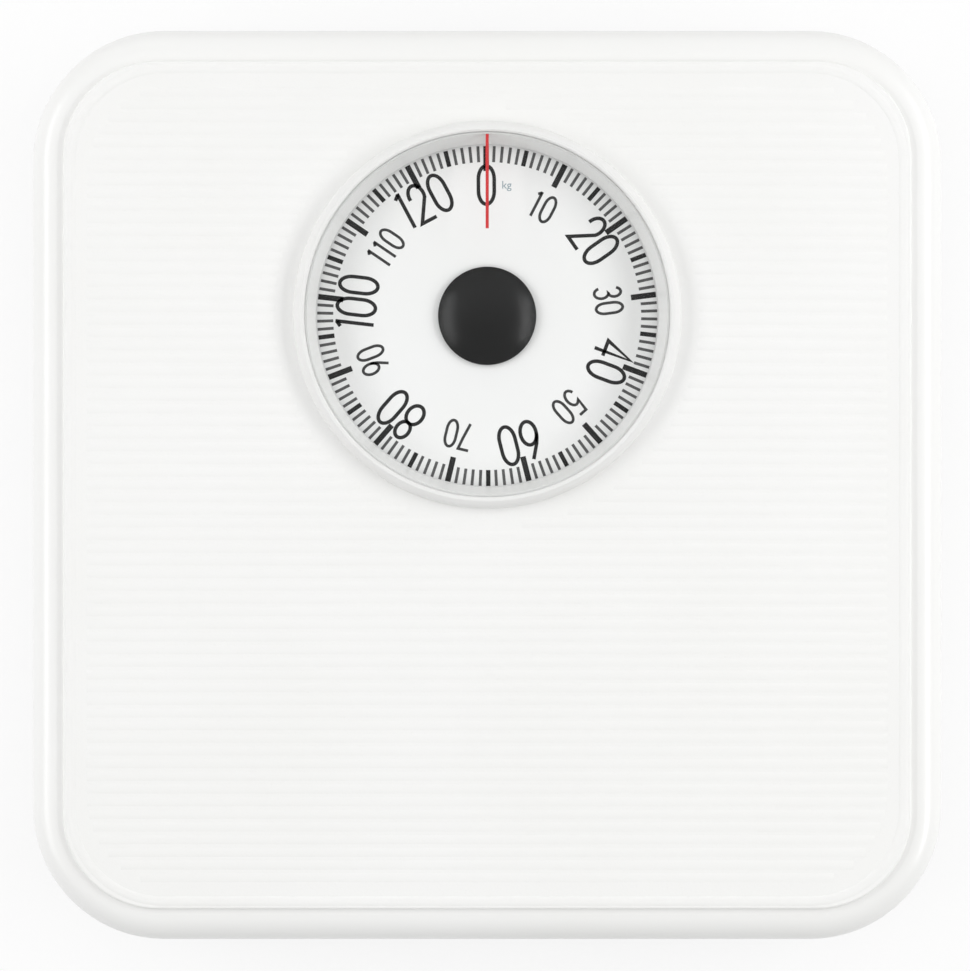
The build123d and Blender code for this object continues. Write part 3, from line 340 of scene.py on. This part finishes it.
# heights are in metres; a range of gloss that crosses about 0.27 leaves sharp-edged flecks in the
# denoised picture, so none of these does
finishSettings = {
    "tray": {
        "colour": (0.80, 0.80, 0.79), "tint": (0.765, 0.765, 0.75), "cloudScale": 14,
        "speck": (0.62, 0.62, 0.60), "speckScale": 1500, "speckShare": 0.3,
        "dust": (0.50, 0.48, 0.44), "dustShare": 0.22, "dustHeight": 0.012,
        "rough": (0.34, 0.5), "glossScale": 45, "coat": 0.1,
        "grainScale": 900, "grainHeight": 0.00002, "grainStrength": 0.5,
    },
    "platform": {
        "colour": (0.88, 0.88, 0.87), "tint": (0.865, 0.865, 0.85), "cloudScale": 10,
        "dust": (0.76, 0.75, 0.72), "dustShare": 0.12, "dustHeight": 0.024,
        "rough": (0.29, 0.37), "glossScale": 26, "coat": 0.12,
        "grainScale": 420, "grainHeight": 0.000012, "grainStrength": 0.35, "grainDetail": 1,
    },
    "mat": {
        "colour": (0.90, 0.90, 0.89), "tint": (0.885, 0.885, 0.87), "cloudScale": 12,
        "speck": (0.84, 0.84, 0.82), "speckScale": 1900, "speckShare": 0.35,
        "rough": (0.74, 0.9), "glossScale": 70, "shine": 0.22,
        "grain": "cells", "grainScale": 1100, "grainHeight": 0.00004, "grainStrength": 0.3,
    },
    "feet": {
        "colour": (0.07, 0.07, 0.07), "tint": (0.055, 0.055, 0.057), "cloudScale": 90,
        "speck": (0.14, 0.14, 0.135), "speckScale": 1800, "speckShare": 0.4,
        "dust": (0.25, 0.24, 0.22), "dustShare": 0.45, "dustHeight": 0.003,
        "rough": (0.6, 0.85), "glossScale": 240, "shine": 0.35,
        "grainScale": 2200, "grainHeight": 0.00004,
    },
    "bezel": {
        "colour": (0.83, 0.83, 0.82), "tint": (0.815, 0.815, 0.80), "cloudScale": 24,
        "rough": (0.29, 0.37), "glossScale": 90, "shine": 0.45,
        "grainScale": 1600, "grainHeight": 0.000008, "grainStrength": 0.15,
    },
    "seal": {
        "colour": (0.80, 0.80, 0.79), "tint": (0.77, 0.77, 0.755), "cloudScale": 60,
        "rough": (0.5, 0.65), "glossScale": 150, "shine": 0.4,
        "grainScale": 1800, "grainHeight": 0.00002,
    },
    "pointer": {
        "colour": (0.60, 0.022, 0.026), "tint": (0.56, 0.02, 0.023), "cloudScale": 120,
        "rough": (0.34, 0.5), "glossScale": 400,
        "grainScale": 2400, "grainHeight": 0.000008,
    },
    "dial_face": {
        "colour": (0.89, 0.89, 0.885), "tint": (0.88, 0.88, 0.87), "cloudScale": 22,
        "rough": (0.42, 0.55), "glossScale": 120, "shine": 0.3,
        "grainScale": 1500, "grainHeight": 0.000008, "grainStrength": 0.3,
    },
    "hub_cap": {
        "colour": (0.002, 0.002, 0.002), "tint": (0.003, 0.003, 0.003), "cloudScale": 80,
        "speck": (0.008, 0.008, 0.008), "speckScale": 2400, "speckShare": 0.4,
        "rough": (0.285, 0.33), "glossScale": 160, "shine": 0.25,
        "grainScale": 1400, "grainHeight": 0.000008, "grainStrength": 0.2,
    },
    "collar": {
        "colour": (0.74, 0.74, 0.75), "tint": (0.68, 0.68, 0.69), "cloudScale": 90, "metal": 1,
        "rough": (0.29, 0.42), "glossScale": 500, "stretch": (1, 1, 8),
        "grainScale": 1600, "grainHeight": 0.000008,
    },
    "brass": {
        "colour": (0.72, 0.55, 0.28), "tint": (0.62, 0.45, 0.22), "cloudScale": 130, "metal": 1,
        "rough": (0.29, 0.43), "glossScale": 600, "stretch": (1, 1, 6),
        "grainScale": 1500, "grainHeight": 0.000008,
    },
    "zinc_plate": {
        "colour": (0.64, 0.65, 0.64), "tint": (0.57, 0.585, 0.60), "cloudScale": 36, "metal": 0.92,
        "speck": (0.74, 0.73, 0.68), "speckScale": 320, "speckShare": 0.35,
        "rough": (0.3, 0.48), "glossScale": 220, "stretch": (0.35, 1, 1),
        "grainScale": 900, "grainHeight": 0.00001,
    },
    "lever_steel": {
        "colour": (0.58, 0.59, 0.60), "tint": (0.49, 0.50, 0.515), "cloudScale": 28, "metal": 0.95,
        "speck": (0.40, 0.36, 0.32), "speckScale": 260, "speckShare": 0.25,
        "rough": (0.32, 0.5), "glossScale": 260, "stretch": (1, 0.25, 1),
        "grainScale": 1100, "grainHeight": 0.000012,
    },
    "pins": {
        "colour": (0.70, 0.70, 0.71), "tint": (0.63, 0.63, 0.645), "cloudScale": 110, "metal": 1,
        "rough": (0.16, 0.26), "glossScale": 420,
        "grainScale": 1500, "grainHeight": 0.000006,
    },
    "spring_steel": {
        "colour": (0.50, 0.50, 0.51), "tint": (0.40, 0.40, 0.42), "cloudScale": 140, "metal": 1,
        "speck": (0.30, 0.27, 0.23), "speckScale": 700, "speckShare": 0.3,
        "rough": (0.29, 0.42), "glossScale": 500,
        "grainScale": 1600, "grainHeight": 0.000008,
    },
    "rack": {
        "colour": (0.86, 0.85, 0.80), "tint": (0.83, 0.815, 0.76), "cloudScale": 90,
        "rough": (0.34, 0.46), "glossScale": 220, "shine": 0.45,
        "grainScale": 1800, "grainHeight": 0.00001,
    },
    "zero_wheel": {
        "colour": (0.10, 0.10, 0.10), "tint": (0.085, 0.085, 0.085), "cloudScale": 110,
        "speck": (0.19, 0.19, 0.185), "speckScale": 1300, "speckShare": 0.4,
        "rough": (0.36, 0.55), "glossScale": 300, "shine": 0.4,
        "grainScale": 1900, "grainHeight": 0.00002,
    },
}

lensLook = {
    "tint": (0.996, 0.998, 0.998, 1), "index": 1.1,
    "rough": (0.02, 0.07), "wipeScale": 35, "wipeDetail": 5,
}


def dressFrame():
    finishes = {slot: makeFinish(slot + "_finish", look) for slot, look in finishSettings.items()}
    finishes["lens"] = makeClearLens(lensLook)
    for part in frame["record"]["subparts"]:
        node = frame["nodes"][part["node"]]
        for place in node.material_slots:
            place.material = finishes[part["material_slot"]]
    return finishes


finishes = dressFrame()
print("frame dressed in", len(finishes), "finishes")


# helpers for new pieces

weldWithin = 0.01 * mm


def deselectAll():
    if bpy.context.object and bpy.context.object.mode != "OBJECT":
        bpy.ops.object.mode_set(mode="OBJECT")
    bpy.ops.object.select_all(action="DESELECT")


def setAtOrigin(piece):
    deselectAll()
    piece.select_set(True)
    bpy.context.view_layer.objects.active = piece
    bpy.ops.object.transform_apply(location=True, rotation=True, scale=True)


def joinPieces(pieces, name):
    deselectAll()
    for piece in pieces:
        piece.select_set(True)
    bpy.context.view_layer.objects.active = pieces[0]
    bpy.ops.object.join()
    joined = bpy.context.object
    joined.name = name
    joined.data.name = name
    return joined


def copyOf(piece, move):
    copied = piece.copy()
    copied.data = piece.data.copy()
    copied.data.transform(move)
    bpy.context.collection.objects.link(copied)
    return copied


def thicken(piece, height):
    deselectAll()
    piece.select_set(True)
    bpy.context.view_layer.objects.active = piece
    bpy.ops.object.mode_set(mode="EDIT")
    bpy.ops.mesh.select_all(action="SELECT")
    bpy.ops.mesh.extrude_region_move(TRANSFORM_OT_translate={"value": (0, 0, height)})
    bpy.ops.mesh.select_all(action="SELECT")
    bpy.ops.mesh.normals_make_consistent(inside=False)
    bpy.ops.object.mode_set(mode="OBJECT")


def aroundDial(angle):
    # angle runs clockwise from the far side, as the figures do
    return Matrix.Translation((dialX, dialY, 0)) @ Matrix.Rotation(-angle, 4, "Z")


# printing on the dial: the scale's lines

pixel = cameraSettings["millimetresPerPixel"] * mm

# the lines' sizes are in pixels of the photograph, inner and outer from the dial's middle
printSettings = {
    "kilograms": 130,
    "restTurn": math.radians(-0.38),  # the nought stands a hair before the pointer
    "sink": 0.01 * mm,
    "ink": 0.04 * mm,
    "boldEvery": 5,
    "longEvery": 10,
    "lines": {
        "one": {"inner": 154, "outer": 170, "width": 2.9},
        "five": {"inner": 154, "outer": 170, "width": 4.4},
        "ten": {"inner": 145, "outer": 170, "width": 5.6},
    },
}

inkLook = {
    "cloudScale": 300, "rough": (0.45, 0.6), "glossScale": 500, "shine": 0.25,
    "grainScale": 2500, "grainHeight": 0.000004,
}
inkTints = {
    "inkBlack": {"colour": (0.012, 0.012, 0.012), "tint": (0.02, 0.02, 0.02)},
    "inkGrey": {"colour": (0.09, 0.09, 0.09), "tint": (0.11, 0.11, 0.11)},
    "inkDark": {"colour": (0.035, 0.035, 0.035), "tint": (0.048, 0.048, 0.048)},
    "inkBlue": {"colour": (0.27, 0.35, 0.40), "tint": (0.31, 0.39, 0.43)},
}
inks = {name: makeFinish(name, {**inkLook, **tints}) for name, tints in inkTints.items()}


def turnOf(kilogram):
    return math.tau * kilogram / printSettings["kilograms"] + printSettings["restTurn"]


def printLine(line):
    deselectAll()
    length = (line["outer"] - line["inner"]) * pixel
    middle = (line["outer"] + line["inner"]) / 2 * pixel
    bpy.ops.mesh.primitive_plane_add(size=1, location=(0, middle, discTop - printSettings["sink"]))
    made = bpy.context.object
    made.scale = (line["width"] * pixel, length, 1)
    setAtOrigin(made)
    thicken(made, printSettings["sink"] + printSettings["ink"])
    return made


def printScale():
    patterns = {name: printLine(line) for name, line in printSettings["lines"].items()}
    made = {"one": [], "five": [], "ten": []}
    for kilogram in range(printSettings["kilograms"]):
        kind = "one"
        if kilogram % printSettings["boldEvery"] == 0:
            kind = "five"
        if kilogram % printSettings["longEvery"] == 0:
            kind = "ten"
        made[kind].append(copyOf(patterns[kind], aroundDial(turnOf(kilogram))))
    for pattern in patterns.values():
        bpy.data.objects.remove(pattern)
    fine = joinPieces(made["one"], "kilogram_lines")
    fine.data.materials.append(inks["inkGrey"])
    bold = joinPieces(made["five"] + made["ten"], "bold_lines")
    bold.data.materials.append(inks["inkBlack"])
    for lines in (fine, bold):
        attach(lines, "dial")


printScale()
print("scale lines printed")


# printing on the dial: figures drawn as strokes, one unit wide and one unit high

def bow(x, y, wide, high, start, end, steps=14):
    # a curved stroke about (x, y), angles in degrees from the right, against the clock
    turns = [math.radians(start + (end - start) * step / steps) for step in range(steps + 1)]
    return [(x + wide * math.cos(turn), y + high * math.sin(turn)) for turn in turns]


def figureStrokes():
    roundTop = bow(0, 0.66, 0.5, 0.34, 0, 180)
    roundFoot = bow(0, 0.34, 0.5, 0.34, 180, 360)
    nought = roundTop + roundFoot + [roundTop[0]]
    loop = bow(0, 0.31, 0.5, 0.31, 0, 360, 26)
    stem = [(-0.5, 0.34), (-0.47, 0.46), (-0.36, 0.62), (0.06, 1.0)]
    six = [loop, stem]
    nine = [[(-x, 1 - y) for x, y in stroke] for stroke in six]
    return {
        "0": [nought],
        "1": [[(0, 0), (0, 1)], [(0, 0.97), (-0.3, 0.86)]],
        "2": [bow(0, 0.72, 0.48, 0.28, 190, -25) + [(-0.5, 0.0), (0.52, 0.0)]],
        "3": [bow(-0.02, 0.76, 0.44, 0.24, 160, -90) + bow(-0.02, 0.27, 0.5, 0.27, 82, -160)],
        "4": [[(0.2, 0), (0.2, 1), (-0.52, 0.27), (0.5, 0.27)]],
        "5": [[(0.44, 1), (-0.34, 1), (-0.42, 0.52)] + bow(-0.02, 0.31, 0.5, 0.31, 128, -155)],
        "6": six,
        "7": [[(-0.5, 1), (0.5, 1), (0.28, 0.6), (-0.14, 0)]],
        "8": [bow(0, 0.765, 0.42, 0.235, -90, 270, 24), bow(0, 0.27, 0.5, 0.27, 90, 450, 26)],
        "9": nine,
    }


# in pixels of the photograph, inner and outer from the dial's middle
figureSettings = {
    "large": {
        "inner": 110, "outer": 152, "wide": 19.4, "line": 3.6,
        "step": 22.0, "stepOfOne": 10.2, "ink": "inkBlack",
    },
    "small": {
        "inner": 107.5, "outer": 137, "wide": 13.2, "line": 2.8,
        "step": 15.2, "stepOfOne": 10.2, "ink": "inkDark",
    },
    "largeEvery": 20,
    "smallEvery": 10,
}

ribbonSettings = {
    "closesWithin": 0.001 * mm,  # a stroke whose ends are nearer than this is a ring
    "mergesWithin": 0.01 * mm,
    "leastCosine": 0.35,  # the two keep a sharp corner's mitre short
    "longestMitre": 2.2,
}


def strokeRibbon(stroke, line):
    # both sides of a stroke, mitred at each point
    settings = ribbonSettings
    closed = (Vector(stroke[0]) - Vector(stroke[-1])).length < settings["closesWithin"]
    points = [Vector(point) for point in (stroke[:-1] if closed else stroke)]
    kept = [points[0]]
    for point in points[1:]:
        if (point - kept[-1]).length > settings["mergesWithin"]:
            kept.append(point)
    count = len(kept)
    left, right = [], []
    for index, point in enumerate(kept):
        before = kept[index - 1] if closed or index else None
        after = kept[(index + 1) % count] if closed or index < count - 1 else None
        coming = (point - before).normalized() if before is not None else (after - point).normalized()
        going = (after - point).normalized() if after is not None else coming
        side = Vector((-coming.y - going.y, coming.x + going.x)).normalized()
        cosine = max(side.dot(Vector((-coming.y, coming.x))), settings["leastCosine"])
        reach = min(1 / cosine, settings["longestMitre"])
        left.append(point + side * reach * line / 2)
        right.append(point - side * reach * line / 2)
    faces = []
    for index in range(count if closed else count - 1):
        following = (index + 1) % count
        faces.append((index, following, count + following, count + index))
    return left + right, faces


def drawFigure(text, kind, strokes):
    settings = figureSettings[kind]
    wide = (settings["wide"] - settings["line"]) * pixel
    high = (settings["outer"] - settings["inner"] - settings["line"]) * pixel
    foot = (settings["inner"] + settings["line"] / 2) * pixel
    steps = [settings["stepOfOne" if letter == "1" else "step"] * pixel for letter in text]
    x = -sum(steps) / 2
    corners, faces = [], []
    for letter, step in zip(text, steps):
        for stroke in strokes[letter]:
            placed = [(x + step / 2 + point[0] * wide, foot + point[1] * high) for point in stroke]
            sides, bands = strokeRibbon(placed, settings["line"] * pixel)
            start = len(corners)
            corners += [(point.x, point.y, discTop - printSettings["sink"]) for point in sides]
            faces += [tuple(start + corner for corner in band) for band in bands]
        x += step
    drawn = bpy.data.meshes.new("figure" + text)
    drawn.from_pydata(corners, [], faces)
    figure = bpy.data.objects.new("figure" + text, drawn)
    bpy.context.collection.objects.link(figure)
    thicken(figure, printSettings["sink"] + printSettings["ink"])
    return figure


def printFigures():
    strokes = figureStrokes()
    made = {"large": [], "small": []}
    for kilogram in range(0, printSettings["kilograms"], figureSettings["smallEvery"]):
        kind = "large" if kilogram % figureSettings["largeEvery"] == 0 else "small"
        figure = drawFigure(str(kilogram), kind, strokes)
        figure.data.transform(aroundDial(turnOf(kilogram)))
        made[kind].append(figure)
    for kind, figures in made.items():
        joined = joinPieces(figures, kind + "_figures")
        joined.data.materials.append(inks[figureSettings[kind]["ink"]])
        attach(joined, "dial")


printFigures()
print("figures printed")


# the unit's two letters, beside the nought

unitSettings = {"text": "kg", "x": 19.4, "y": 127.5, "height": 11.0, "curveSides": 4}


def printUnit():
    deselectAll()
    settings = unitSettings
    x = dialX + settings["x"] * pixel
    y = dialY + settings["y"] * pixel
    bpy.ops.object.text_add(location=(x, y, discTop - printSettings["sink"]))
    unit = bpy.context.object
    unit.data.body = settings["text"]
    unit.data.size = settings["height"] * pixel
    unit.data.align_x = "CENTER"
    unit.data.resolution_u = settings["curveSides"]
    bpy.ops.object.convert(target="MESH")
    unit = bpy.context.object
    unit.name = "unit_letters"
    setAtOrigin(unit)
    bpy.ops.object.mode_set(mode="EDIT")
    bpy.ops.mesh.select_all(action="SELECT")
    bpy.ops.mesh.remove_doubles(threshold=weldWithin)
    bpy.ops.object.mode_set(mode="OBJECT")
    thicken(unit, printSettings["sink"] + printSettings["ink"])
    unit.data.materials.clear()
    unit.data.materials.append(inks["inkBlue"])
    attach(unit, "dial")


printUnit()
print("unit printed")


# ribs moulded on the mat, and the bead along its edge

ribSettings = {
    "pitch": 4.0 * mm,
    "wide": 2.9 * mm,
    "high": 0.18 * mm,
    "sink": 0.12 * mm,
    "fromEdge": 7.0 * mm,
    "edgeCorner": 30.0 * mm,
    "dialRoom": 66.5 * mm,
    "shortest": 8.0 * mm,
    "patternLength": 40 * mm,
    "barSides": 150,
    "endSlope": 5,
    "cutNear": 0.0001 * mm,  # far smaller than the bar's facets, or the cut folds faces over
    "beadFromEdge": 2.6 * mm,
    "beadCorner": 29.0 * mm,
    "beadCornerSides": 16,
    "beadSides": 3,
    "smoothUnder": math.radians(40),
}


def ribPattern():
    # the top slice of a long round bar, its two ends sloped
    deselectAll()
    settings = ribSettings
    half, high, low = settings["wide"] / 2, settings["high"], -settings["sink"]
    radius = (half ** 2 + high ** 2) / (2 * high)
    middle = matHigh[2] + high - radius
    bpy.ops.mesh.primitive_cylinder_add(vertices=settings["barSides"], radius=radius,
                                        depth=settings["patternLength"],
                                        location=(0, 0, middle), rotation=(0, math.pi / 2, 0))
    rib = bpy.context.object
    setAtOrigin(rib)
    bpy.ops.object.mode_set(mode="EDIT")
    bpy.ops.mesh.select_all(action="SELECT")
    bpy.ops.mesh.bisect(plane_co=(0, 0, matHigh[2] + low), plane_no=(0, 0, 1), use_fill=True,
                        clear_inner=True, threshold=settings["cutNear"])
    bpy.ops.mesh.select_all(action="SELECT")
    bpy.ops.mesh.normals_make_consistent(inside=False)
    bpy.ops.object.mode_set(mode="OBJECT")
    for corner in rib.data.vertices:
        rise = corner.co.z - matHigh[2] - low
        corner.co.x -= math.copysign(settings["endSlope"] * rise, corner.co.x)
    return rib


def ribSpans(y):
    # where a rib may run at this place, clear of the rounded corners and of the dial
    settings = ribSettings
    half = matHigh[0] - settings["fromEdge"]
    past = abs(y) - (half - settings["edgeCorner"])
    if past > 0:
        half += math.sqrt(max(settings["edgeCorner"] ** 2 - past ** 2, 0)) - settings["edgeCorner"]
    room = settings["dialRoom"] ** 2 - (y - dialY) ** 2
    if room <= 0:
        return [(-half, half)]
    gap = math.sqrt(room)
    beside = ((-half, dialX - gap), (dialX + gap, half))
    return [span for span in beside if span[1] - span[0] > settings["shortest"]]


def layRibs():
    settings = ribSettings
    pattern = ribPattern()
    reach = matHigh[1] - settings["fromEdge"] - settings["wide"] / 2
    rows = int(reach // settings["pitch"])
    ribs = []
    for row in range(-rows, rows + 1):
        y = row * settings["pitch"]
        for start, end in ribSpans(y):
            rib = copyOf(pattern, Matrix.Translation(((start + end) / 2, y, 0)))
            longer = (end - start - settings["patternLength"]) / 2
            middle = (start + end) / 2
            for corner in rib.data.vertices:
                corner.co.x += longer if corner.co.x > middle else -longer
            ribs.append(rib)
    bpy.data.objects.remove(pattern)
    return ribs


def layBead():
    deselectAll()
    settings = ribSettings
    half = matHigh[0] - settings["beadFromEdge"]
    bpy.ops.mesh.primitive_plane_add(size=2 * half, location=(0, 0, 0))
    bead = bpy.context.object
    bpy.ops.object.mode_set(mode="EDIT")
    bpy.ops.mesh.select_all(action="SELECT")
    bpy.ops.mesh.bevel(offset=settings["beadCorner"], segments=settings["beadCornerSides"],
                       affect="VERTICES")
    bpy.ops.mesh.select_all(action="SELECT")
    bpy.ops.mesh.delete(type="ONLY_FACE")
    bpy.ops.object.mode_set(mode="OBJECT")
    bpy.ops.object.convert(target="CURVE")
    bead = bpy.context.object
    bead.data.bevel_depth = settings["wide"] / 2
    bead.data.bevel_resolution = settings["beadSides"]
    bpy.ops.object.convert(target="MESH")
    bead = bpy.context.object
    bead.scale = (1, 1, settings["high"] / (settings["wide"] / 2))
    bead.location = (0, 0, matHigh[2])
    setAtOrigin(bead)
    bpy.ops.object.mode_set(mode="EDIT")
    bpy.ops.mesh.select_all(action="SELECT")
    bpy.ops.mesh.remove_doubles(threshold=weldWithin)
    bpy.ops.mesh.normals_make_consistent(inside=False)
    bpy.ops.object.mode_set(mode="OBJECT")
    return bead


def mouldMat():
    moulding = joinPieces([layBead()] + layRibs(), "mat_ribs")
    moulding.data.materials.clear()
    moulding.data.materials.append(finishes["mat"])
    deselectAll()
    moulding.select_set(True)
    bpy.context.view_layer.objects.active = moulding
    bpy.ops.object.shade_smooth_by_angle(angle=ribSettings["smoothUnder"])
    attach(moulding, "platform")


mouldMat()
print("mat moulded")
